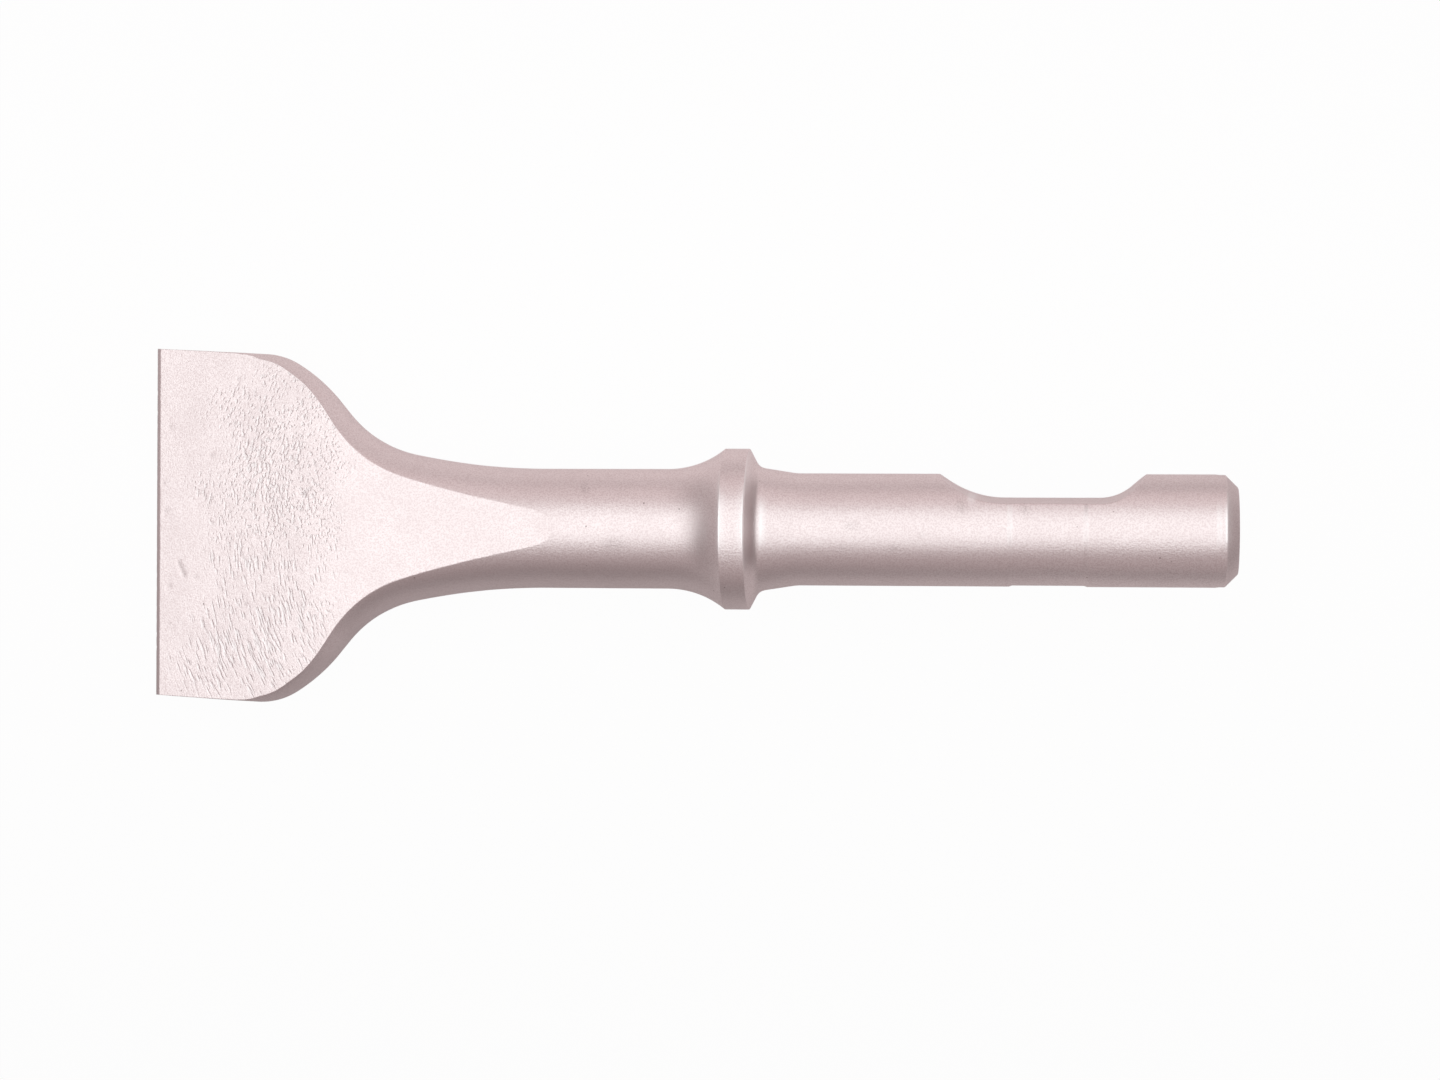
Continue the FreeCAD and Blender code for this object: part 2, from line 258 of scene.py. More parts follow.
class ChiselStudio(PropertyGroup):
    """Floor, lamps and camera."""

    floor_size: length("Floor size", "Side of the square floor", 6000.0)
    # Painted pool of light on the floor: its colour beside the tool and further off, its reach and
    # its middle
    painted_pool_light: colour("Floor light", "Colour of the lit floor beside the tool", 0.90, 0.82, 0.82)
    painted_pool_dim: colour("Floor dim", "Colour of the floor further off", 0.20, 0.18, 0.18)
    painted_pool_length: length("Pool length", "How far along the tool the lit floor reaches", 700.0)
    painted_pool_width: length("Pool width", "How far across the tool the lit floor reaches", 230.0)
    painted_pool_across: length("Pool across", "Where the lit floor is centred across the tool", 60.0)
    seen_white: share("Seen white", "Share of plain white that the camera sees", 0.97)
    mirrored_white: share("Mirrored white", "Share of plain white that the steel mirrors", 0.10)
    room_colour: colour("Room", "Colour of the room round the floor", 0.373, 0.289, 0.289)
    box_height: length("Softbox height", "Height of both softboxes over the floor", 2000.0)
    box_width: length("Softbox width", "Size of both softboxes across the tool", 3200.0)
    box_across: length("Softbox across", "Where the softboxes stand across the tool", 280.0)
    box_tint: colour("Softbox tint", "Colour of the softboxes' light", 0.92, 1.0, 1.0)
    front_length: length("Front softbox", "Length of the softbox at the blade's end", 2740.0)
    front_along: length("Front along", "Where that softbox stands along the tool", -1890.0)
    front_power: power("Front power", "Power of that softbox", 27.8)
    back_length: length("Back softbox", "Length of the softbox at the struck end", 4320.0)
    back_along: length("Back along", "Where that softbox stands along the tool", 1640.0)
    back_power: power("Back power", "Power of that softbox", 36.7)
    board_length: length("Board length", "Size of the lit board along the tool", 6060.0)
    board_height: length("Board height", "Height of the lit board", 2700.0)
    board_along: length("Board along", "Where the board stands along the tool", 1440.0)
    board_across: length("Board across", "How far the board stands from the tool", 3000.0)
    board_power: power("Board power", "Power of the lit board", 18.9)
    board_tint: colour("Board tint", "Colour of the board's light", 1.0, 0.89, 0.89)
    camera_x: length("Camera along", "Where the camera stands along the tool", 6.51)
    camera_y: length("Camera across", "Where the camera stands across the tool", -2.90)
    camera_z: length("Camera height", "Height of the camera over the floor", 812.6)
    camera_turn: angle("Camera turn", "How far the camera is turned about its view", 0.26)
    camera_lens: FloatProperty(name="Lens", description="Focal length of the camera",
                               default=87.5, min=1.0, subtype="DISTANCE_CAMERA")


class ChiselSettings(PropertyGroup):
    """Everything that a user can change."""

    blade: PointerProperty(type=ChiselBladeSizes)
    bar: PointerProperty(type=ChiselBarSizes)
    notch: PointerProperty(type=ChiselNotchSizes)
    surface: PointerProperty(type=ChiselSurfaceSizes)
    steel: PointerProperty(type=ChiselSteelLook)
    studio: PointerProperty(type=ChiselStudio)


def in_millimetres(group):
    """The group's lengths as plain numbers in millimetres. Angles stay in radians."""
    values = {}
    for name, prop in group.bl_rna.properties.items():
        if name in ("rna_type", "name"):
            continue
        value = getattr(group, name)
        values[name] = value / MM if prop.unit == "LENGTH" else value
    return SimpleNamespace(**values)


# Steps and bells

def rising(values, low, high):
    """A smooth step, 3t^2 - 2t^3, from 0 at low to 1 at high. It falls where high is less."""
    t = np.clip((values - low) / (high - low), 0.0, 1.0)
    return t * t * (3 - 2 * t)


def between(values, limits):
    """A smooth step up from the first limit to the second, and one down from the third on."""
    none_below, full_from, full_to, none_above = limits
    return rising(values, none_below, full_from) * rising(values, none_above, full_to)


def bell(away):
    """1 in the middle and 1/e where away is 1: the exponential of minus away squared."""
    return np.exp(-away ** 2)


# Rows and profiles

def unit(vectors):
    """The vectors, each made 1 long."""
    return vectors / np.linalg.norm(vectors, axis=-1, keepdims=True)


def across(heading):
    """Unit vector square to a path that heads for the edge: (sin, cos) of its heading."""
    return np.array([math.sin(heading), math.cos(heading)])


def ahead(heading):
    """Unit vector along a path that heads for the edge: (-cos, sin) of its heading."""
    return np.array([-math.cos(heading), math.sin(heading)])


def bend(start, radius, heading, heading_end):
    """One round stretch of the outline, hollow (1) where the heading opens, else round (-1)."""
    hollow = 1 if heading_end > heading else -1
    centre = start + across(heading) * (hollow * radius)
    end = centre - across(heading_end) * (hollow * radius)
    return {"centre": centre, "radius": radius, "hollow": hollow, "end": end,
            "heading_end": heading_end}


def shoulder(blade, start, lean):
    """The two round bends that lead the ramp into the blade's side."""
    first = bend(start, blade.shoulder_radius, blade.throat_end, blade.shoulder_end)
    second = bend(first["end"], blade.corner_radius, blade.shoulder_end, lean)
    return [first, second]


def outline(blade, neck_radius, lean):
    """One side of the blade as tangent stretches, from its root to the cutting edge.

    The straight ramp is as long as the blade's half width asks for: the distance that the
    bends alone would miss, measured square to the side, over the ramp's share in it.
    """
    fan = bend(np.array([blade.root, neck_radius]), blade.fan_radius, 0.0, blade.fan_end)
    throat = bend(fan["end"], blade.throat_radius, blade.fan_end, blade.throat_end)
    target = np.array([blade.lean_centre, blade.width / 2])
    reached = shoulder(blade, throat["end"], lean)[-1]["end"]
    missing = (target - reached) @ across(lean)
    ramp_length = missing / (ahead(blade.throat_end) @ across(lean))
    ramp_end = throat["end"] + ahead(blade.throat_end) * ramp_length
    ramp = {"hollow": 0, "end": ramp_end, "heading_end": blade.throat_end}
    return [fan, throat, ramp] + shoulder(blade, ramp_end, lean)


def side_reach(stretches, neck_radius, lean, x, inset):
    """Distance from the axis to the outline, moved inwards by inset, at station x.

    A hollow bend moved inwards gets a longer radius and a round one a shorter radius, and
    y is centre -/+ the root of radius squared less (x - centre) squared. A straight
    stretch moves square to itself. Behind the root the outline is the neck's.
    """
    reach = neck_radius - inset
    begins = np.full_like(inset, stretches[0]["centre"][0])
    for stretch in stretches:
        heading = stretch["heading_end"]
        end = stretch["end"]
        if stretch["hollow"]:
            radius = stretch["radius"] + stretch["hollow"] * inset
            run = np.sqrt(np.maximum(radius ** 2 - (x - stretch["centre"][0]) ** 2, 0.0))
            here = stretch["centre"][1] - stretch["hollow"] * run
        else:
            here = straight_reach(end, heading, x, inset)
        reach = np.where(x <= begins, here, reach)
        begins = end[0] - inset * math.sin(heading)
    side = straight_reach(stretches[-1]["end"], lean, x, inset)
    return np.where(x <= begins, side, reach)


def straight_reach(point, heading, x, inset):
    """Height at x of the line through point with that heading, moved inwards by inset."""
    run = x - point[0] + inset * math.sin(heading)
    return point[1] - inset * math.cos(heading) - run * math.tan(heading)


def blended_slopes(x, corners, blends):
    """Straight slopes through corners, joined by parabolas of the given lengths.

    Each corner adds its change of slope times a ramp, which is zero before the blend,
    (x - start) squared over twice the blend within it, and x - corner behind it.
    """
    points = np.array(corners)
    slopes = np.diff(points[:, 1]) / np.diff(points[:, 0])
    height = points[0, 1] + slopes[0] * (x - points[0, 0])
    for corner, change, blend in zip(points[1:-1, 0], np.diff(slopes), blends):
        within = np.clip(x - corner + blend / 2, 0.0, blend)
        behind = np.maximum(x - corner - blend / 2, 0.0)
        height = height + change * (within ** 2 / (2 * blend) + behind)
    return height


def flat_slopes(blade):
    """Slopes of the flat in front of its belly and behind it."""
    front = (blade.belly_half - blade.bevel_half) / (blade.belly - blade.bevel_length)
    back = (blade.run_out_half - blade.belly_half) / (blade.run_out - blade.belly)
    return front, back


def flat_half(blade, neck_radius, x):
    """Half thickness between the flats: bevel, blade slope, neck slope and run-out."""
    corners = [(0.0, blade.land_half), (blade.bevel_length, blade.bevel_half),
               (blade.belly, blade.belly_half), (blade.run_out, blade.run_out_half),
               (blade.tip, neck_radius)]
    front, back = flat_slopes(blade)
    blends = [blade.bevel_blend, blade.belly_radius * (front - back), blade.run_out_blend]
    return np.minimum(blended_slopes(x, corners, blends), neck_radius)


def wall_radius(blade, neck_radius, x):
    """Radius of the round side wall: the neck's, with a bell-shaped swell at the throat.

    Towards the cutting edge the wall was trimmed flatter, which a smooth step adds.
    """
    away = x - blade.wall_swell_at
    fade = np.where(away < 0, blade.wall_swell_front, blade.wall_swell_back)
    flatter = blade.trimmed * rising(x, blade.trimmed_from, blade.trimmed_from - blade.trimmed_fade)
    return neck_radius + blade.wall_swell * bell(away / fade) + flatter


def blade_stations(blade):
    """Rows of the blade: close at the bevel, even over the face, wider over the neck side.

    Towards the flat's tip they close in as squares, because its width grows as a root.
    """
    bevel = np.array(BEVEL_ROWS) * blade.bevel_length
    face = np.linspace(bevel[-1], FACE_END, FACE_ROWS)[1:]
    side = np.linspace(FACE_END, SIDE_END, SIDE_ROWS)[1:]
    left = np.linspace(1.0, 0.0, TIP_ROWS)[1:]
    tip = blade.tip - (blade.tip - SIDE_END) * left ** 2
    return np.concatenate([bevel, face, side, tip])


def rounded_profile(corners, steps=5):
    """A profile through corners given as (x, radius, rounding), with arcs of steps points.

    Each arc touches both its neighbours: its centre stands on the corner's bisector, at
    the rounding over the cosine of half the turn.
    """
    values = np.array(corners)
    points = values[:, :2]
    rounding = values[1:-1, 2]
    ways = unit(np.diff(points, axis=0))
    into, onward = ways[:-1], ways[1:]
    half_turn = np.arccos(np.clip((into * onward).sum(axis=1), -1.0, 1.0)) / 2
    inward, along = unit(onward - into), unit(onward + into)
    centre = points[1:-1] + inward * (rounding / np.cos(half_turn))[:, None]
    swing = np.linspace(-1.0, 1.0, steps)[None, :, None] * half_turn[:, None, None]
    spoke = along[:, None, :] * np.sin(swing) - inward[:, None, :] * np.cos(swing)
    arcs = centre[:, None, :] + rounding[:, None, None] * spoke
    return np.concatenate([points[:1], arcs.reshape(-1, 2), points[-1:]])


def bar_profile(bar, start):
    """Half profile of the turned bar as points of (station, radius)."""
    flare_turn = math.acos(1 - (bar.collar_radius - bar.neck_radius) / bar.flare_radius)
    flare_start = bar.collar_front - bar.flare_radius * math.sin(flare_turn)
    swing = np.linspace(0.0, FLARE_SHARE, FLARE_ROWS) * flare_turn
    flare = np.stack([flare_start + bar.flare_radius * np.sin(swing),
                      bar.neck_radius + bar.flare_radius * (1 - np.cos(swing))], axis=1)
    back = bar.collar_front + bar.collar_width
    cone_end = back + bar.cone_length
    relief = bar.shank_radius - bar.relief_depth
    lead = bar.shank_radius - bar.lead_depth
    step, soft = bar.step_length, bar.step_round
    rest = rounded_profile([
        (flare[-1, 0], flare[-1, 1], 0.0),
        (bar.collar_front, bar.collar_radius, bar.collar_edge_round),
        (back, bar.collar_radius, bar.collar_edge_round),
        (cone_end, bar.cone_radius, bar.cone_fillet),
        (bar.shank_start, bar.shank_radius, bar.shank_blend),
        (bar.relief_start, bar.shank_radius, soft),
        (bar.relief_start + step, relief, soft),
        (bar.relief_end - step, relief, soft),
        (bar.relief_end, bar.shank_radius, soft),
        (bar.lead, bar.shank_radius, soft),
        (bar.lead + step, lead, soft),
        (bar.overall - bar.chamfer, lead, bar.chamfer_round),
        (bar.overall, lead - bar.chamfer, bar.face_round),
        (bar.overall, 0.0, 0.0),
    ])
    return np.concatenate([[(start, bar.neck_radius)], flare, rest[1:-1]])


def notch_height(notch, x):
    """Distance of the notch's surface from the axis: hollow run-in, floor, bend and ramp."""
    start, end = notch.floor_start, notch.floor_end
    run_in = notch.run_in - np.sqrt(notch.run_in ** 2 - np.clip(start - x, 0.0, notch.run_in) ** 2)
    bend_length = notch.run_out * math.sin(notch.ramp)
    within = np.clip(x - end, 0.0, bend_length)
    run_out = notch.run_out - np.sqrt(notch.run_out ** 2 - within ** 2)
    ramp = np.maximum(x - end - bend_length, 0.0) * math.tan(notch.ramp)
    return notch.floor_height + run_in + run_out + ramp


def notch_ends(bar, notch):
    """The two stations where the notch's surface meets the round shank."""
    rise = bar.shank_radius - notch.floor_height
    front = notch.floor_start - math.sqrt(2 * notch.run_in * rise - rise ** 2)
    bend_rise = notch.run_out * (1 - math.cos(notch.ramp))
    bend_length = notch.run_out * math.sin(notch.ramp)
    back = notch.floor_end + bend_length + (rise - bend_rise) / math.tan(notch.ramp)
    return front, back


def filled(keys, spacing):
    """The sorted keys with even rows added between them, none further apart than spacing."""
    gaps = [np.linspace(a, b, max(1, math.ceil((b - a) / spacing)) + 1)[:-1]
            for a, b in zip(keys[:-1], keys[1:])]
    return np.concatenate(gaps + [keys[-1:]])


def bar_stations(profile, bar, notch):
    """Rows of the bar: every point of its profile, the notch's ends and even rows between.

    Behind and before the notch's ends the rows close in as squares, as at the flat's tip.
    Each rim and each small step also has a row beside it, half a step away.
    """
    front, back = notch_ends(bar, notch)
    closing = np.linspace(0.0, 1.0, CLOSING_ROWS) ** 2 * CLOSING_LENGTH
    collar_back = bar.collar_front + bar.collar_width
    ridge = bar.overall - bar.chamfer
    step = bar.step_length
    rims = np.array([
        (bar.collar_front, bar.collar_front), (collar_back, collar_back), (ridge, ridge),
        (bar.relief_start, bar.relief_start + step), (bar.relief_end - step, bar.relief_end),
        (bar.lead, bar.lead + step),
    ])
    beside = rims + np.array([-step / 2, step / 2])
    bends = [notch.floor_start, notch.floor_end]
    keys = np.unique(np.concatenate([
        profile[:, 0], front + closing, back - closing, bends, beside.ravel()]))
    keys = keys[np.concatenate([[True], np.diff(keys) > SAME])]
    rows = filled(keys, BAR_GAP)
    inside = (rows > front) & (rows < back)
    dense = filled(rows[inside], NOTCH_GAP)
    return np.unique(np.concatenate([rows, dense]))


# Grids of points

def spread(total, count, near):
    """Distances from 0 to total in count steps: two close steps at each end, even between.

    The close steps are near and 1.5 near, or an even share where total is short.
    """
    total = np.asarray(total, dtype=float)[:, None]
    close = np.minimum(near, total / count)
    steps = np.arange(count + 1)[None, :]
    second = 1.5 * close
    both = close + second
    inner = both + (total - 2 * both) * (steps - 2) / (count - 4)
    return np.select([steps == 0, steps == 1, steps == count - 1, steps == count],
                     [0.0 * total, close, total - close, total], inner)


def quad_faces(rows, columns, first=0):
    """Corner numbers of the quads of a grid of points that starts at number first."""
    numbers = first + np.arange(rows * columns).reshape(rows, columns)
    corners = [numbers[:-1, :-1], numbers[1:, :-1], numbers[1:, 1:], numbers[:-1, 1:]]
    return np.stack(corners, axis=-1).reshape(-1, 4)


def flat_patch(x, reach_left, reach_right, half, near):
    """One flat, upper or lower with the sign of half: y runs from crease to crease at z."""
    total = reach_left + reach_right
    y = spread(total, FLAT_COLUMNS, near) - reach_right[:, None]
    rows = np.broadcast_to(x[:, None], y.shape)
    return np.stack([rows, y, np.broadcast_to(half[:, None], y.shape)], axis=-1)


def wall_quarter(walls, near, side, level):
    """Quarter of the walls on one side of the axis, above or below the middle plane.

    On the blade a point at arc angle a has z = R sin a, and its y is the outline moved
    inwards by R - R cos a. On the bar it lies at radius r and angle a. The angle runs
    from the side's seam to the crease, or to the bar's top or bottom line.
    """
    total = walls.radius * (walls.crease - walls.seam[side, level])
    distance = spread(total, WALL_COLUMNS, near)
    distance[0] = np.concatenate([[0.0], np.full(WALL_COLUMNS, total[0])])
    swing = walls.seam[side, level][:, None] + distance / walls.radius[:, None]
    radius = walls.radius[:, None]
    inset = radius * (1 - np.cos(swing))
    x = np.broadcast_to(walls.x[:, None], swing.shape)
    blade_y = walls.reach(side, x, inset)
    y = np.where(x <= walls.blade_x[-1], blade_y, radius * np.cos(swing))
    return np.stack([x, side * y, level * radius * np.sin(swing)], axis=-1)


def notch_patch(notch, x, radius, near):
    """The notch's surface: straight across from crease to crease at its height over the axis."""
    height = np.minimum(notch_height(notch, x), radius)
    height[[0, -1]] = radius[[0, -1]]
    half = np.sqrt(radius ** 2 - height ** 2)
    t = spread(2 * half, NOTCH_COLUMNS, near) - half[:, None]
    up = np.array([math.cos(notch.clock), math.sin(notch.clock)])
    over = np.array([-math.sin(notch.clock), math.cos(notch.clock)])
    y = height[:, None] * up[0] + t * over[0]
    z = height[:, None] * up[1] + t * over[1]
    return np.stack([np.broadcast_to(x[:, None], t.shape), y, z], axis=-1)


def ease_crease(one, column_one, other, column_other):
    """Eases the crease that two patches share: each point goes halfway to its neighbours.

    The crease is the first column of a patch, 0, or its last one, -1.
    """
    next_to = {0: 1, -1: -2}
    beside = one[:, next_to[column_one]] + other[:, next_to[column_other]]
    eased = one[:, column_one] / 2 + beside / 4
    one[:, column_one] = eased
    other[:, column_other] = eased


def reach_of_sides(blade, neck_radius):
    """The function that tells how far a side, moved inwards by inset, reaches at station x."""
    lean = {NOTCHED: blade.lean, PLAIN: -blade.plain_lean}
    sides = {side: outline(blade, neck_radius, lean[side]) for side in lean}

    def reach(side, x, inset):
        return side_reach(sides[side], neck_radius, lean[side], x, inset)

    return reach


def notch_opening(notch, x, radius, in_notch):
    """Half the angle that the notch opens: its cosine is the notch's height over the radius."""
    opening = np.zeros_like(x)
    height = notch_height(notch, x[in_notch])
    opening[in_notch] = np.arccos(np.minimum(height / radius[in_notch], 1.0))
    opening[np.flatnonzero(in_notch)[[0, -1]]] = 0.0
    return opening


def wall_rows(s):
    """Stations and radii of all rows, with the angles of their seams and creases.

    A seam lies on the axis' level, turned with the notch, and opens where the notch is.
    A crease lies where the flat cuts the wall, and on the bar at its top or bottom line.
    """
    blade, bar, notch = s.blade, s.bar, s.notch
    neck = bar.neck_radius
    blade_x = blade_stations(blade)
    profile = bar_profile(bar, blade.tip)
    bar_x = bar_stations(profile, bar, notch)[1:]
    x = np.concatenate([blade_x, bar_x])
    blade_wall = wall_radius(blade, neck, blade_x)
    radius = np.concatenate([blade_wall, np.interp(bar_x, profile[:, 0], profile[:, 1])])
    half = flat_half(blade, neck, blade_x)
    half[-1] = neck
    crease = np.full(len(x), QUARTER_TURN)
    crease[:len(blade_x) - 1] = np.arcsin(np.minimum(half / blade_wall, 1.0))[:-1]
    front, back = notch_ends(bar, notch)
    in_notch = (x > front - SAME) & (x < back + SAME)
    opening = notch_opening(notch, x, radius, in_notch)
    turn = notch.clock * rising(x, blade.tip + CLOCK_ROOM, front - 2 * CLOCK_ROOM)
    unturned = np.zeros_like(x)
    seam = {(NOTCHED, UPPER): turn + opening, (NOTCHED, LOWER): opening - turn,
            (PLAIN, UPPER): unturned, (PLAIN, LOWER): unturned}
    return SimpleNamespace(
        x=x, blade_x=blade_x, radius=radius, half=half, crease=crease, seam=seam,
        reach=reach_of_sides(blade, neck), in_notch=in_notch)


def forging_patches(s):
    """The grids of the chisel's skin: two flats, four quarters of wall and the notch."""
    near = s.surface.crease_round
    walls = wall_rows(s)
    quarters = {key: wall_quarter(walls, near, *key) for key in walls.seam}
    count = len(walls.blade_x)
    inset = walls.radius[:count] * (1 - np.cos(walls.crease[:count]))
    left, right = (walls.reach(side, walls.blade_x, inset) for side in (NOTCHED, PLAIN))
    left[-1] = right[-1] = 0.0
    flats = {level: flat_patch(walls.blade_x, left, right, level * walls.half, near)
             for level in (UPPER, LOWER)}
    x_in_notch, radius_in_notch = walls.x[walls.in_notch], walls.radius[walls.in_notch]
    hollow = notch_patch(s.notch, x_in_notch, radius_in_notch, near)
    on_blade = slice(1, count - 1)
    notch_rows = np.flatnonzero(walls.in_notch)
    between_ends = slice(notch_rows[0] + 1, notch_rows[-1])
    for level, rim in ((UPPER, -1), (LOWER, 0)):
        notched, plain = quarters[NOTCHED, level], quarters[PLAIN, level]
        ease_crease(flats[level][on_blade], -1, notched[on_blade], -1)
        ease_crease(flats[level][on_blade], 0, plain[on_blade], -1)
        ease_crease(notched[between_ends], 0, hollow[1:-1], rim)
    return SimpleNamespace(quarters=quarters, flats=flats, hollow=hollow)


def edge_strip(shape):
    """The land of the cutting edge: the flats' first rows with a middle row between them."""
    top, bottom = shape.flats[UPPER][0], shape.flats[LOWER][0]
    middle = (top + bottom) / 2
    middle[0] = shape.quarters[PLAIN, UPPER][0, 0]
    middle[-1] = shape.quarters[NOTCHED, UPPER][0, 0]
    return np.stack([top, middle, bottom])


def struck_face(quarters, overall):
    """The flat end as rings that shrink to the axis, one fan for each quarter."""
    shrink = np.linspace(1.0, 0.0, STRUCK_FACE_ROWS)[:, None, None]
    centre = np.array([overall, 0.0, 0.0])
    return [centre + (points[-1][None] - centre) * shrink for points in quarters.values()]


def joined(patches):
    """All patches as one list of points and one of quads, borders still apart."""
    points, faces, count = [], [], 0
    for patch in patches:
        rows, columns = patch.shape[:2]
        points.append(patch.reshape(-1, 3))
        faces.append(quad_faces(rows, columns, count))
        count += rows * columns
    return np.concatenate(points), np.concatenate(faces)


def welded_mesh(name, points, faces):
    """A mesh whose coinciding borders are merged and whose faces all point outwards."""
    mesh = bpy.data.meshes.new(name)
    mesh.from_pydata(points.tolist(), [], faces.tolist())
    work = bmesh.new()
    work.from_mesh(mesh)
    bmesh.ops.remove_doubles(work, verts=work.verts, dist=WELD)
    bmesh.ops.recalc_face_normals(work, faces=work.faces)
    loose = [edge for edge in work.edges if len(edge.link_faces) != 2]
    work.to_mesh(mesh)
    work.free()
    if loose:
        raise RuntimeError(f"the forging isn't closed: it has {len(loose)} open edges")
    return mesh


# Marks of forging and handling, and painted highlights and shade

# Each noise draws from a seed of its own, this much above the first
NOISES = {"swell": 0, "patch": 1, "bend": 2, "fold": 3, "peel": 4, "nick": 5}
# Radius at which the way along the flow's arcs is measured, the share by which that way is
# lengthened on the notched side, and the way from which on it is
FLOW_RADIUS = 61.8
FLOW_STRETCH = 1.3
FLOW_STRETCH_FROM = -3.0
# The normal's z at which the skin begins to count as flat, and counts in full
FLAT_FACING = (0.90, 0.96)
# Strength of the wrinkles all over their band and in its patches, how uneven both are, and
# the noise at which a fold begins, which is at its deepest at minus that noise
BAND_STRENGTH = 0.20
PATCH_STRENGTH = 0.85
UNEVENNESS = 0.9
FOLD_NOISE = 0.625
# How much smoother the turned bar is than the blade, and the length over which it gets so
TURNED_SMOOTHER = 0.7
TURNED_FADE = 12.0
# Patches of deeper wrinkles as (station, distance across, half length, half width, strength)
WRINKLED = (
    (27.5, 9.5, 11.0, 12.0, 0.66), (20.5, -28.0, 12.0, 8.5, 0.9), (25.0, -8.0, 9.0, 8.0, 0.5),
    (12.0, 9.0, 5.0, 5.0, 0.4), (34.0, -20.0, 8.0, 6.0, 0.65), (31.0, 19.0, 7.0, 7.0, 0.4),
    (10.0, -32.0, 5.0, 6.0, 0.4), (18.0, 27.0, 9.0, 7.0, 0.25), (36.0, 5.0, 6.0, 8.0, 0.5),
)
# Pits on the upper side as (station, distance across, radius), in millimetres, and their
# depth as a share of the scratch's
PITS = (
    (13.6, 16.4, 0.7), (20.2, 33.8, 0.6), (36.2, 7.6, 1.0), (41.5, 7.4, 0.6), (10.9, 7.7, 0.6),
    (12.0, 7.0, 0.6), (39.0, 14.0, 0.7), (3.3, 23.0, 0.7), (1.9, 10.0, 0.6), (2.4, 3.6, 0.7),
    (18.6, 20.9, 0.6), (21.2, 20.5, 0.6), (24.9, 20.9, 0.6), (25.4, 15.6, 0.8), (34.2, -1.8, 0.6),
    (20.7, -1.8, 0.6), (25.0, -2.5, 0.6), (19.3, -11.9, 0.6), (31.9, -11.4, 0.6),
    (22.0, -17.6, 0.7), (15.7, -14.0, 0.6), (3.3, -13.6, 0.7), (9.7, -11.5, 0.6),
    (243.9, -3.9, 0.5), (243.4, -5.4, 0.5), (243.7, -1.6, 0.4),
)
PIT_SHARE = 0.7
# The scratch on the upper flat: both ends as (station, distance across), and its half width
SCRATCH = ((5.6, -8.0), (7.1, -11.2), 0.42)
# Smudges as (station, distance across on the upper side, half length, half width), and how
# many times that size they fade out at
SMUDGES = (
    (101.0, 8.8, 1.2, 1.6), (108.0, -3.5, 2.6, 1.6), (161.0, 0.8, 2.0, 1.2),
    (159.0, -4.2, 1.8, 0.7), (170.5, -4.2, 1.6, 0.8), (185.4, 5.3, 1.3, 1.9),
    (199.5, 4.6, 1.2, 1.6), (176.5, -1.0, 0.8, 0.8),
)
SMUDGE_END = 1.4
# The light scuff beside the notch, laid out like a smudge, and how bright it was rubbed
SCUFF = (187.6, 7.4, 0.9, 1.4)
SCUFF_SHARE = 0.9
# Facings between which the rims of the bar, by the normal's y, and the flat's crease, by
# its z, get painted glints: none, in full, in full, none
RIM_FACINGS = (-0.38, -0.08, 0.32, 0.62)
CREASE_FACINGS = (0.72, 0.80, 0.93, 0.97)
# How far behind the cone the painted glint on the fillet at its foot lies
FOOT_GLINT = 1.3
# The stretch of the crease with a painted highlight: its middle, half length and end
CREASE_HIGHLIGHT = (35.0, 14.0, 50.0)
# How much painted shade darkens each place
PAINTED_SHADE = {"flare": 0.85, "cone": 0.85, "chamfer": 0.35, "land": 0.75, "side": 0.55}
# Share of the bevel in front of which the painted shade on the land is full
LAND_SHARE = 0.8
# Painted shade on the flare, laid out like a smudge, and on the cone: how far behind band
# and cone it begins and ends, its middle across the tool, and how far from there it has
# gone and is still full
FLARE_SHADE = (127.55, -2.0, 2.7, 6.5)
CONE_SHADE = (0.1, 0.6, 1.5, 12.0, 7.0)
# Sideways facing at which painted shade sets in on the plain side and is full, and its length
SIDE_FACING = (0.40, 0.70)
SIDE_SHADE_LENGTH = 110.0


def gradient_noise(points, seed):
    """Smooth noise in space, about -1 to 1: random slopes on a unit lattice, blended.

    Each lattice corner has a random direction. A point takes the dot product of each of
    its cell's eight directions with the way from that corner, blended by 6t^5-15t^4+10t^3.
    """
    size = 64
    rng = np.random.default_rng(seed)
    slopes = unit(rng.normal(size=(size, size, size, 3)))
    cell = np.floor(points).astype(int)
    part = points - cell
    blend = part ** 3 * (part * (part * 6 - 15) + 10)
    total = np.zeros(len(points))
    for corner in np.ndindex(2, 2, 2):
        at = (cell + corner) % size
        slope = slopes[at[:, 0], at[:, 1], at[:, 2]]
        weight = np.prod(np.where(corner, blend, 1 - blend), axis=1)
        total += weight * ((part - corner) * slope).sum(axis=1)
    to_full_swing = 1.6
    return total * to_full_swing


def noise_of(name, points, s):
    """The noise of that name at the points, which are counted in cells."""
    return gradient_noise(points, s.surface.seed + NOISES[name])


def ellipse_away(points, station, across_axis, half_length, half_width):
    """Distance from an ellipse's middle, where 1 is its rim."""
    along = (points[:, 0] - station) / half_length
    aside = (points[:, 1] - across_axis) / half_width
    return np.hypot(along, aside)


def flow_places(points, blade):
    """Where each point lies in the forging's flow, which runs in arcs about the flat's tip.

    The first value is the distance from the tip, the second the way along the arc, as the
    angle times the flow's radius, and the third tells the upper side from the lower. On
    the notched side the way is stretched, because the marks are shorter there.
    """
    ahead_of_tip = blade.tip - points[:, 0]
    distance = np.hypot(ahead_of_tip, points[:, 1])
    arc = np.arctan2(points[:, 1], ahead_of_tip) * FLOW_RADIUS
    arc += FLOW_STRETCH * np.maximum(arc - FLOW_STRETCH_FROM, 0.0)
    return np.stack([distance, arc, points[:, 2]], axis=1)


def flat_share(normals):
    """1 where the skin faces up or down, as the flats do, and 0 where it faces sideways."""
    return rising(np.abs(normals[:, 2]), *FLAT_FACING)


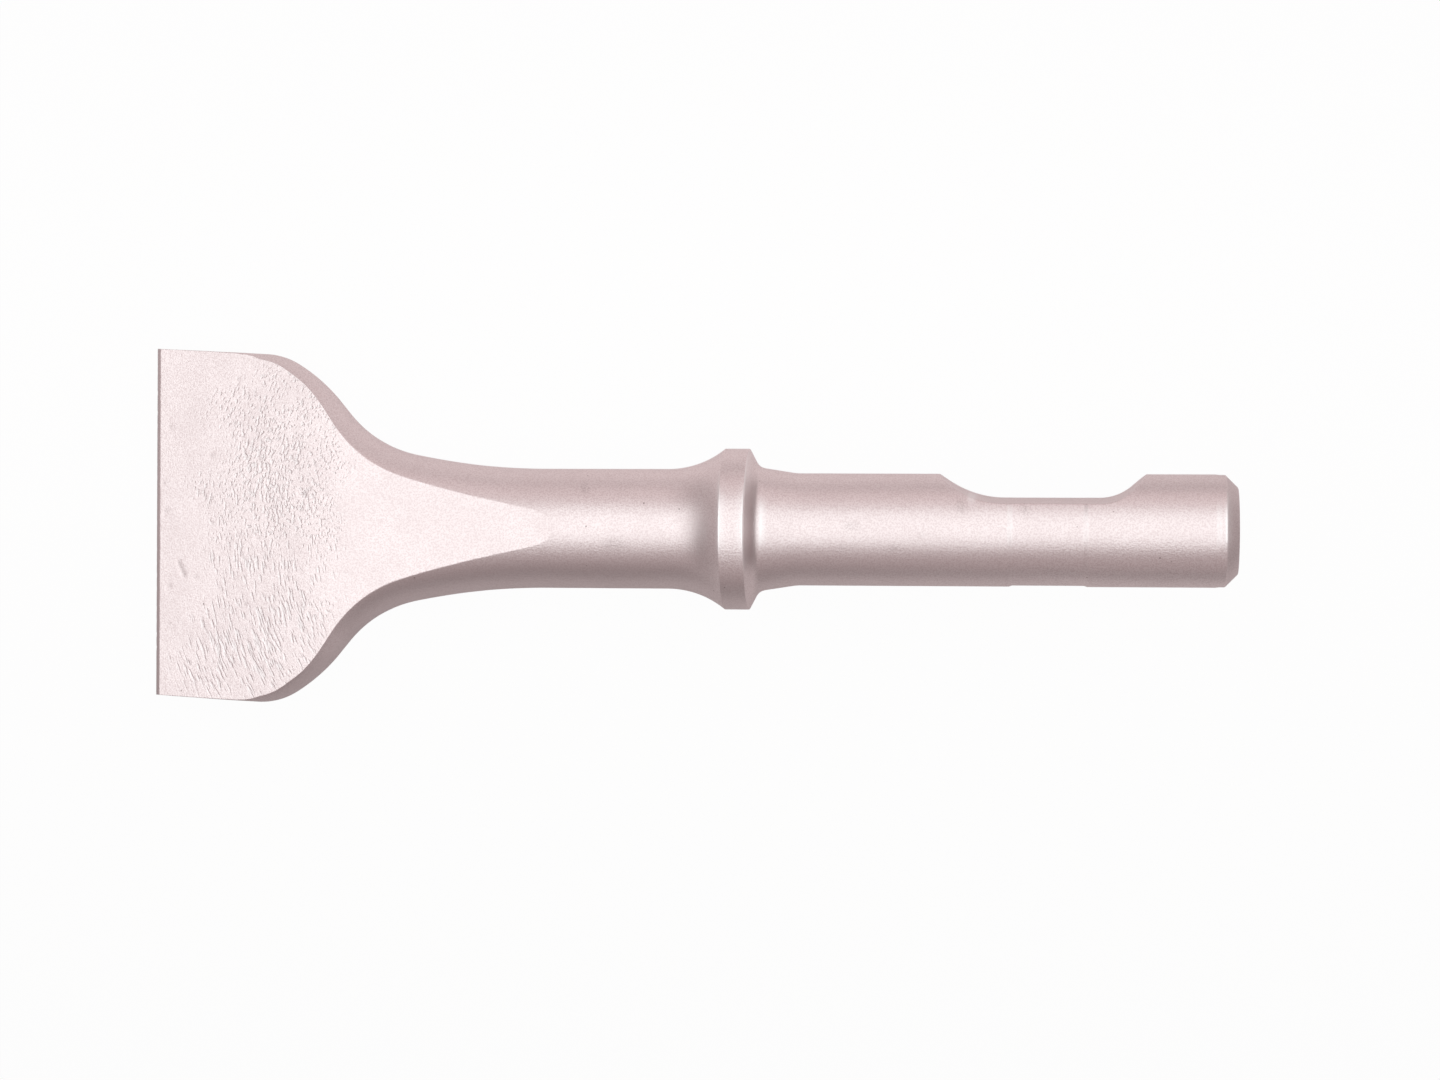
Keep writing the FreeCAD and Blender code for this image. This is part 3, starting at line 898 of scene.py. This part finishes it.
def wrinkled_share(points, normals, s):
    """How wrinkled each point is: a band of arcs on both flats, in patches.

    The band is a smooth step up from its near side and one down to its far side. It has a
    low level, which noise makes uneven, and on it stand the bells of WRINKLED.
    """
    surface = s.surface
    distance = flow_places(points, s.blade)[:, 0]
    half_fade = surface.wrinkle_fade / 2
    rise = rising(distance, surface.wrinkle_near - half_fade, surface.wrinkle_near + half_fade)
    fall = rising(distance, surface.wrinkle_far + half_fade, surface.wrinkle_far - half_fade)
    deep = np.max([strength * bell(ellipse_away(points, *ellipse))
                   for *ellipse, strength in WRINKLED], axis=0)
    uneven = 1.0 + UNEVENNESS * noise_of("patch", points / surface.swell_size, s)
    strength = np.clip((BAND_STRENGTH * fall + PATCH_STRENGTH * deep) * uneven, 0.0, 1.0)
    return rise * strength * flat_share(normals) * (points[:, 0] < s.blade.tip)


def wrinkles(points, s):
    """Rounded folds across the flow: noise squeezed along the flow and bent by more noise."""
    surface = s.surface
    flow = flow_places(points, s.blade)
    bent = flow[:, 0] + noise_of("bend", points / surface.wrinkle_length, s)
    squeezed = np.stack([bent / surface.wrinkle_pitch, flow[:, 1] / surface.wrinkle_length,
                         flow[:, 2] / surface.wrinkle_length], axis=1)
    return noise_of("fold", squeezed, s)


def pits(points, normals):
    """Round dips on the upper side: each is a bell of its own radius."""
    dips = [bell(ellipse_away(points, station, across_axis, radius, radius))
            for station, across_axis, radius in PITS]
    return PIT_SHARE * np.max(dips, axis=0) * (normals[:, 2] > 0)


def scratch(points, normals):
    """One straight scratch on the upper flat, a groove whose section is a bell."""
    start, end, half = np.array(SCRATCH[0]), np.array(SCRATCH[1]), SCRATCH[2]
    reach = np.linalg.norm(end - start)
    along = (end - start) / reach
    way = points[:, :2] - start
    passed = np.clip(way @ along, 0.0, reach)
    away = np.linalg.norm(way - passed[:, None] * along, axis=1)
    return bell(away / half) * (normals[:, 2] > 0)


def dents(points, normals):
    """Pits and scratch together, whichever is deeper."""
    return np.maximum(pits(points, normals), scratch(points, normals))


def highlight_and_scuff_share(points, normals, s):
    """Painted glints and the scuff: narrow bells at the bar's rims, on its upper side.

    The flat's crease gets a painted highlight too, on the notched side beside the shoulder,
    and the scuff is rubbed bright. A rim is given as its station and its strength.
    """
    bar = s.bar
    half = bar.step_length / 2
    collar_back = bar.collar_front + bar.collar_width
    cone_foot = collar_back + bar.cone_length + FOOT_GLINT
    rims = ((bar.collar_front, 1.0), (collar_back, 1.0), (cone_foot, 0.8),
            (bar.relief_start + half, 1.0), (bar.relief_end - half, 0.6),
            (bar.lead + half, 1.0), (bar.overall - bar.chamfer, 1.0))
    on_rims = np.max([strength * bell((points[:, 0] - station) / half)
                      for station, strength in rims], axis=0)
    on_rims *= between(normals[:, 1], RIM_FACINGS)
    middle, half_length, end = CREASE_HIGHLIGHT
    on_crease = between(normals[:, 2], CREASE_FACINGS) * bell((points[:, 0] - middle) / half_length)
    on_crease *= (points[:, 1] > 0) & (points[:, 0] < end)
    scuff = SCUFF_SHARE * bell(ellipse_away(points, *SCUFF))
    return np.max([on_rims, on_crease, scuff], axis=0) * (normals[:, 2] > 0)


def shaded_share(points, normals, s):
    """Painted shade on flare, cone, chamfer, the land of the edge and the plain side.

    On the cone it is full in the middle and fades towards the rims. On the plain side it
    is darkest at the blade and gone at the struck end.
    """
    bar, blade = s.bar, s.blade
    station, upper = points[:, 0], normals[:, 2] > 0
    flare = bell(ellipse_away(points, *FLARE_SHADE)) * upper
    collar_back = bar.collar_front + bar.collar_width
    behind_band, behind_cone, middle, gone, full = CONE_SHADE
    cone_front, cone_back = collar_back + behind_band, collar_back + bar.cone_length + behind_cone
    cone = rising(np.abs(points[:, 1] - middle), gone, full) * upper
    cone *= (station > cone_front) & (station < cone_back)
    chamfer = station > bar.overall - bar.chamfer + bar.chamfer_round
    land = rising(station, blade.bevel_length, LAND_SHARE * blade.bevel_length)
    side = np.clip((bar.relief_end - station) / SIDE_SHADE_LENGTH, 0.0, 1.0)
    side *= rising(-normals[:, 1], *SIDE_FACING)
    shares = {"flare": flare, "cone": cone, "chamfer": chamfer, "land": land, "side": side}
    return np.max([PAINTED_SHADE[name] * darkening for name, darkening in shares.items()], axis=0)


def smudged_share(points, normals):
    """How smudged each point is, by the ellipses in SMUDGES, on the upper side alone."""
    spots = [rising(ellipse_away(points, *smudge), SMUDGE_END, 0.0) for smudge in SMUDGES]
    return np.max(spots, axis=0) * (normals[:, 2] > 0)


def sunk(points, normals, s):
    """How far the marks lie below the clean skin, in millimetres, never above it.

    Orange peel is everywhere, and so is slow unevenness, though less on what was turned.
    Wrinkles are on the flats, pits and scratch on the upper side. The bevel fades them all.
    """
    surface, blade = s.surface, s.blade
    forged = 1 - TURNED_SMOOTHER * rising(points[:, 0], blade.tip, blade.tip + TURNED_FADE)
    swell = (1 - noise_of("swell", points / surface.swell_size, s)) / 2
    peel = (1 - noise_of("peel", points / surface.peel_size, s)) / 2
    folds = rising(wrinkles(points, s), FOLD_NOISE, -FOLD_NOISE)
    depth = surface.swell_depth * forged * swell + surface.peel_depth * peel
    depth += surface.wrinkle_depth * wrinkled_share(points, normals, s) * folds
    depth += surface.scratch_depth * dents(points, normals)
    return np.maximum(depth * rising(points[:, 0], 0.0, blade.bevel_length), 0.0)


def nicked(points, s):
    """How far the land of the edge is worn back: noise along it, less its lowest part."""
    blade, surface = s.blade, s.surface
    along_edge = np.zeros_like(points)
    along_edge[:, 0] = points[:, 1] / surface.edge_wear_size
    sound = 0.1
    nick = np.maximum(noise_of("nick", along_edge, s) - sound, 0.0)
    return surface.edge_wear * nick * rising(points[:, 0], 2 * blade.land_half, blade.land_half)


def marked(mesh, s):
    """The mesh's points and normals as they are, and its points moved by the marks.

    The marks sink the skin along its normals, and nick the cutting edge along the axis.
    """
    size = len(mesh.vertices) * 3
    points = np.empty(size)
    mesh.vertices.foreach_get("co", points)
    points = points.reshape(-1, 3)
    normals = np.empty(size, dtype=np.float32)
    mesh.vertex_normals.foreach_get("vector", normals)
    normals = normals.reshape(-1, 3).astype(float)
    moved = points - normals * sunk(points, normals, s)[:, None]
    moved[:, 0] += nicked(points, s)
    return points, normals, moved


# The chisel itself

def add_attribute(mesh, name, kind, values):
    """Stores one value, or one vector, for each point of the mesh."""
    attribute = mesh.attributes.new(name, kind, "POINT")
    key = "vector" if kind == "FLOAT_VECTOR" else "value"
    attribute.data.foreach_set(key, np.ascontiguousarray(values, dtype=np.float32).ravel())


def laid_down(points, s):
    """Points from the tool's frame in millimetres to the row frame in metres.

    The tool is turned about the cutting edge by its lie angle, and put where the frame's
    box begins: the edge's upper rim is the box's lowest x, and the blade's wider corner
    its highest y. The collar's front edge touches the ground.
    """
    lie = lie_angle(s.blade, s.bar)
    cosine, sine = math.cos(lie), math.sin(lie)
    start_x = cad_low.x / MM + s.blade.land_half * sine
    corner = s.blade.width / 2 + s.blade.lean_centre * math.tan(s.blade.lean)
    start_y = cad_high.y / MM - corner
    start_z = s.bar.collar_radius * cosine - s.bar.collar_front * sine
    x, y, z = points[:, 0], points[:, 1], points[:, 2]
    placed = np.stack([start_x + x * cosine - z * sine, start_y + y,
                       start_z + x * sine + z * cosine], axis=1)
    return placed * MM


def lie_angle(blade, bar):
    """How far the axis rises towards the struck end when the chisel lies on the ground.

    The ground touches the belly's round, which has the belly radius and lies tangent to
    both slopes, and passes through the collar's front edge.
    """
    front, back = (math.atan(slope) for slope in flat_slopes(blade))
    middle = (front + back) / 2
    reach = blade.belly_radius / math.cos((front - back) / 2)
    along = blade.belly + reach * math.sin(middle) - bar.collar_front
    above = reach * math.cos(middle) - blade.belly_half + bar.collar_radius
    return math.atan2(along, above) + math.acos(blade.belly_radius / math.hypot(along, above))


class CHISEL_OT_forging(Operator):
    """Make the chisel itself, one forging in blasted steel"""

    bl_idname = "chisel.forging"
    bl_label = "Forging"

    def execute(self, context):
        settings = context.scene.chisel
        s = SimpleNamespace(**{name: in_millimetres(getattr(settings, name))
                               for name in ("blade", "bar", "notch", "surface")})
        shape = forging_patches(s)
        patches = [*shape.quarters.values(), *shape.flats.values(), shape.hollow,
                   edge_strip(shape), *struck_face(shape.quarters, s.bar.overall)]
        mesh = welded_mesh("wide_chisel_forging", *joined(patches))
        clean, normals, moved = marked(mesh, s)
        add_attribute(mesh, "flow", "FLOAT_VECTOR", flow_places(clean, s.blade) * MM)
        add_attribute(mesh, "wrinkled", "FLOAT", wrinkled_share(clean, normals, s))
        add_attribute(mesh, "smudged", "FLOAT", smudged_share(clean, normals))
        add_attribute(mesh, "pitted", "FLOAT", dents(clean, normals))
        add_attribute(mesh, "bared", "FLOAT", highlight_and_scuff_share(clean, normals, s))
        add_attribute(mesh, "shaded", "FLOAT", shaded_share(clean, normals, s))
        mesh.vertices.foreach_set("co", laid_down(moved, s).ravel())
        mesh.shade_smooth()
        mesh.update()
        piece = bpy.data.objects.new("wide_chisel_forging", mesh)
        context.scene.collection.objects.link(piece)
        mesh.materials.append(blasted_steel(settings.steel))
        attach(piece, "root")
        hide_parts(NODE)
        return {"FINISHED"}


# Materials

# Distance from a speck's middle, in cells, at its rim and where it is full, the draws at
# which a cell begins to have one and has it in full, and how much a smudge raises the draw
SPECK_RIM = (0.11, 0.03)
SPECK_DRAW = (0.88, 0.92)
SPECKS_IN_SMUDGES = 0.4
# Noise between which a fold is cut, how much the wrinkled share raises that noise, and the
# wrinkled share over which folds set in
FOLD_CUT = (0.58, 0.78)
FOLDS_RAISED = 0.14
FOLDS_SET_IN = (0.0, 0.3)
# Shares of painted highlight beside each fold and of painted shade in its groove
FOLD_HIGHLIGHT_SHARE = 0.6
FOLD_SHADE_SHARE = 0.29
# Noise, or share of a pit, between which a layer of the steel's colour sets in, and its
# least and most share of the colour
PATCH_RANGE = (0.40, 0.66, 0.0, 0.12)
GRAIN_RANGE = (0.40, 0.64, 0.0, 0.85)
SMUDGE_GRAIN = (0.30, 0.70, 0.10, 0.60)
PIT_RANGE = (0.2, 1.0, 0.0, 0.8)
# Noise between which the roughness goes from its least to its most
ROUGH_PATCHES = (0.35, 0.65)
# Octaves of each noise
PATCH_DETAIL = 3.0
GRAIN_DETAIL = 2.0
FOLD_DETAIL = 1.0


def feed(tree, socket, value):
    """Links a socket into the input, or sets the input to a plain number or colour."""
    if isinstance(value, bpy.types.NodeSocket):
        tree.links.new(value, socket)
    elif socket.type == "RGBA":
        socket.default_value = (*value, 1.0)
    else:
        socket.default_value = value


def added(tree, kind, inputs, **settings):
    """The outputs of a new node with these settings, fed through the named inputs."""
    node = tree.nodes.new("ShaderNode" + kind)
    for name, value in settings.items():
        setattr(node, name, value)
    for name, value in inputs.items():
        feed(tree, node.inputs[name], value)
    return node.outputs


def math_node(tree, operation, first, second):
    """A math node on two inputs, each a socket or a number."""
    return added(tree, "Math", {0: first, 1: second}, operation=operation)["Value"]


def colour_mix(tree, amount, first, second):
    """A colour that goes from first to second by amount. Both are colours or sockets."""
    inputs = {"Factor": amount, "A": first, "B": second}
    return added(tree, "Mix", inputs, data_type="RGBA")["Result"]


def step_between(tree, value, low, high, start=0.0, end=1.0):
    """A smooth step of value from low to high, as a range from start to end."""
    inputs = {"Value": value, "From Min": low, "From Max": high, "To Min": start, "To Max": end}
    return added(tree, "MapRange", inputs, interpolation_type="SMOOTHSTEP")["Result"]


def noise_at(tree, place, size, detail):
    """A noise texture whose features have the given size in metres."""
    inputs = {"Vector": place, "Scale": 1 / size, "Detail": detail}
    return added(tree, "TexNoise", inputs)["Fac"]


def attribute_at(tree, name, output="Fac"):
    """An attribute of the mesh as a socket."""
    return added(tree, "Attribute", {}, attribute_name=name)[output]


def object_place(tree):
    """The place on the object, in metres."""
    return added(tree, "TexCoord", {})["Object"]


def speck_dots(tree, place, look):
    """Small dark dots: near a random point of each cell, in the few cells that are drawn.

    Smudges raise the draw, so dots lie closer there.
    """
    cells = added(tree, "TexVoronoi", {"Vector": place, "Scale": 1 / look.speck_size})
    draw = added(tree, "SeparateColor", {"Color": cells["Color"]})["Red"]
    raised = math_node(tree, "MULTIPLY", attribute_at(tree, "smudged"), SPECKS_IN_SMUDGES)
    few = step_between(tree, math_node(tree, "ADD", draw, raised), *SPECK_DRAW)
    dot = step_between(tree, cells["Distance"], *SPECK_RIM)
    return math_node(tree, "MULTIPLY", dot, few)


def fold_grooves(tree, look, offset):
    """The finest folds, 1 in a groove: noise squeezed along the flow and cut off.

    The wrinkled share lowers the cut, so grooves lie close where the wrinkles are deep,
    and there are none where it is 0. The pattern is moved by the given distance towards the
    edge, which puts the painted highlight beside each fold.
    """
    cells = (1 / look.fold_pitch, 1 / look.fold_length, 1 / look.fold_length)
    shift = (-offset / look.fold_pitch, 0.0, 0.0)
    inputs = {0: attribute_at(tree, "flow", "Vector"), 1: cells, 2: shift}
    place = added(tree, "VectorMath", inputs, operation="MULTIPLY_ADD")["Vector"]
    folds = noise_at(tree, place, 1.0, FOLD_DETAIL)
    wrinkled = attribute_at(tree, "wrinkled")
    raised = math_node(tree, "MULTIPLY", wrinkled, FOLDS_RAISED)
    cut = step_between(tree, math_node(tree, "ADD", folds, raised), *FOLD_CUT)
    return math_node(tree, "MULTIPLY", cut, step_between(tree, wrinkled, *FOLDS_SET_IN))


def steel_colour(tree, look, place, patches, grain):
    """Pale steel, laid over in turn with each of the marks that change its colour.

    First come the duller patches and grain, then the folds' painted highlights and painted
    shade, painted shade on flare, cone, chamfer, edge land and plain side, smudges, pits and
    specks, and at last the painted glints and the scuff.
    """
    fold_highlights = fold_grooves(tree, look, look.fold_highlight_offset)
    grooves = fold_grooves(tree, look, 0.0)
    smudges = step_between(tree, grain, *SMUDGE_GRAIN)
    layers = (
        (step_between(tree, patches, *PATCH_RANGE), look.dull),
        (step_between(tree, grain, *GRAIN_RANGE), look.dull),
        # Painted highlight on the lit side of each fold, and painted shade in its groove
        (math_node(tree, "MULTIPLY", fold_highlights, FOLD_HIGHLIGHT_SHARE), look.highlight_and_scuff_colour),
        (math_node(tree, "MULTIPLY", grooves, FOLD_SHADE_SHARE), look.smudge),
        # Painted shade on flare, cone, chamfer, edge land and plain side
        (attribute_at(tree, "shaded"), look.smudge),
        (math_node(tree, "MULTIPLY", smudges, attribute_at(tree, "smudged")), look.smudge),
        (step_between(tree, attribute_at(tree, "pitted"), *PIT_RANGE), look.smudge),
        (speck_dots(tree, place, look), look.speck),
        # Painted glints on the rims and the crease, and the scuff
        (attribute_at(tree, "bared"), look.highlight_and_scuff_colour),
    )
    base = look.steel
    for amount, shade in layers:
        base = colour_mix(tree, amount, base, shade)
    return base


def blasted_steel(look):
    """Blasted steel: pale metal with a fine grain, which folds and grain also make rough."""
    material = bpy.data.materials.new("blasted_steel")
    material.use_nodes = True
    tree = material.node_tree
    inputs = tree.nodes["Principled BSDF"].inputs
    place = object_place(tree)
    patches = noise_at(tree, place, look.patch_size, PATCH_DETAIL)
    grain = noise_at(tree, place, look.grain_size, GRAIN_DETAIL)
    grooves = math_node(tree, "MULTIPLY", fold_grooves(tree, look, 0.0), -1.0)
    low = look.roughness - look.roughness_spread
    high = look.roughness + look.roughness_spread
    folded = added(tree, "Bump", {"Height": grooves, "Distance": look.fold_depth})["Normal"]
    grained = {"Height": grain, "Distance": look.grain_depth, "Normal": folded}
    feed(tree, inputs["Metallic"], 1.0)
    feed(tree, inputs["Base Color"], steel_colour(tree, look, place, patches, grain))
    feed(tree, inputs["Roughness"], step_between(tree, patches, *ROUGH_PATCHES, low, high))
    feed(tree, inputs["Normal"], added(tree, "Bump", grained)["Normal"])
    return material


# Width of the camera's sensor, in millimetres
SENSOR_WIDTH = 36.0


class CHISEL_OT_stage(Operator):
    """Make the plain floor, the soft light and the camera"""

    bl_idname = "chisel.stage"
    bl_label = "Stage"

    def execute(self, context):
        studio = context.scene.chisel.studio
        make_floor(context, studio)
        make_room(context, studio)
        make_lamps(context, studio)
        make_camera(context, studio)
        context.scene.view_settings.view_transform = "Standard"
        return {"FINISHED"}


def make_floor(context, studio):
    """A square floor at z = 0, of pale paper that camera and glass see as almost white."""
    half = studio.floor_size / 2
    corners = [(-half, -half, 0.0), (half, -half, 0.0), (half, half, 0.0), (-half, half, 0.0)]
    mesh = bpy.data.meshes.new("floor")
    mesh.from_pydata(corners, [], [(0, 1, 2, 3)])
    floor = bpy.data.objects.new("floor", mesh)
    context.scene.collection.objects.link(floor)
    mesh.materials.append(floor_paper(studio))


def whiteness(tree, studio):
    """Share of plain white that a ray meets in floor and room.

    The camera, and what is seen through glass, meets the larger share. The steel mirrors
    the smaller one, because it shows a dimmer studio than the camera sees.
    """
    rays = added(tree, "LightPath", {})
    seen = math_node(tree, "MAXIMUM", rays["Is Camera Ray"], rays["Is Transmission Ray"])
    seen = math_node(tree, "MULTIPLY", seen, studio.seen_white)
    mirrored = math_node(tree, "MULTIPLY", rays["Is Glossy Ray"], studio.mirrored_white)
    return math_node(tree, "MAXIMUM", seen, mirrored)


def floor_paper(studio):
    """Pale paper that takes the shadow, with a painted pool of light beside the tool, mixed with
    plain white.
    """
    material = bpy.data.materials.new("floor_paper")
    material.use_nodes = True
    tree = material.node_tree
    tree.nodes.clear()
    # The paper's colour is a painted pool of light, fading from its middle outwards
    pool = {"Vector": object_place(tree), "Location": (0.0, studio.painted_pool_across, 0.0),
            "Scale": (studio.painted_pool_length, studio.painted_pool_width, 1.0)}
    within = added(tree, "Mapping", pool, vector_type="TEXTURE")["Vector"]
    fade = added(tree, "TexGradient", {"Vector": within}, gradient_type="SPHERICAL")["Fac"]
    paper_with_painted_pool = colour_mix(tree, fade, studio.painted_pool_dim, studio.painted_pool_light)
    paper = added(tree, "BsdfDiffuse", {"Color": paper_with_painted_pool})["BSDF"]
    white = added(tree, "Emission", {})["Emission"]
    surface = {0: whiteness(tree, studio), 1: paper, 2: white}
    added(tree, "OutputMaterial", {"Surface": added(tree, "MixShader", surface)["Shader"]})
    return material


def make_room(context, studio):
    """The room round the floor: one plain colour, mixed with white as the floor is."""
    world = bpy.data.worlds.new("room")
    world.use_nodes = True
    tree = world.node_tree
    shade = colour_mix(tree, whiteness(tree, studio), studio.room_colour, (1.0, 1.0, 1.0))
    feed(tree, tree.nodes["Background"].inputs["Color"], shade)
    feed(tree, tree.nodes["Background"].inputs["Strength"], 1.0)
    context.scene.world = world


def area_lamp(context, name, size, place, turn, power, tint):
    """A rectangular lamp, not seen by the camera, that faces down until it is turned."""
    lamp = bpy.data.lights.new(name, "AREA")
    lamp.shape = "RECTANGLE"
    lamp.size, lamp.size_y = size
    lamp.energy = power
    lamp.color = tint
    holder = bpy.data.objects.new(name, lamp)
    holder.location = place
    holder.rotation_euler = turn
    holder.visible_camera = False
    context.scene.collection.objects.link(holder)


def make_lamps(context, studio):
    """Two softboxes end to end over the tool and a lit board on the notch's side."""
    for name in ("front", "back"):
        size = (getattr(studio, name + "_length"), studio.box_width)
        place = (getattr(studio, name + "_along"), studio.box_across, studio.box_height)
        area_lamp(context, name + "_softbox", size, place, (0.0, 0.0, 0.0),
                  getattr(studio, name + "_power"), studio.box_tint)
    area_lamp(context, "board", (studio.board_length, studio.board_height),
              (studio.board_along, studio.board_across, studio.board_height / 2),
              (-QUARTER_TURN, 0.0, 0.0), studio.board_power, studio.board_tint)


def make_camera(context, studio):
    """The camera looks straight down from over the middle of the photo's frame."""
    data = bpy.data.cameras.new("camera")
    data.sensor_width = SENSOR_WIDTH
    data.lens = studio.camera_lens
    camera = bpy.data.objects.new("camera", data)
    camera.location = (studio.camera_x, studio.camera_y, studio.camera_z)
    camera.rotation_euler = (0.0, 0.0, studio.camera_turn)
    context.scene.collection.objects.link(camera)
    context.scene.camera = camera


class CHISEL_PT_sidebar(Panel):
    """Buttons and sizes of the chisel"""

    bl_idname = "CHISEL_PT_sidebar"
    bl_label = "Wide Chisel"
    bl_space_type = "VIEW_3D"
    bl_region_type = "UI"
    bl_category = "Chisel"

    def draw(self, context):
        layout = self.layout
        layout.operator(CHISEL_OT_forging.bl_idname)
        layout.operator(CHISEL_OT_stage.bl_idname)
        for name in ChiselSettings.__annotations__:
            box = layout.box()
            box.label(text=name.capitalize())
            group = getattr(context.scene.chisel, name)
            for prop in type(group).__annotations__:
                box.prop(group, prop)


CLASSES = (ChiselBladeSizes, ChiselBarSizes, ChiselNotchSizes, ChiselSurfaceSizes,
           ChiselSteelLook, ChiselStudio, ChiselSettings, CHISEL_OT_forging, CHISEL_OT_stage,
           CHISEL_PT_sidebar)


def register():
    for kind in CLASSES:
        bpy.utils.register_class(kind)
    bpy.types.Scene.chisel = PointerProperty(type=ChiselSettings)


def unregister():
    del bpy.types.Scene.chisel
    for kind in reversed(CLASSES):
        bpy.utils.unregister_class(kind)


def main():
    register()
    bpy.ops.chisel.forging()
    bpy.ops.chisel.stage()


if __name__ == "__main__":
    main()
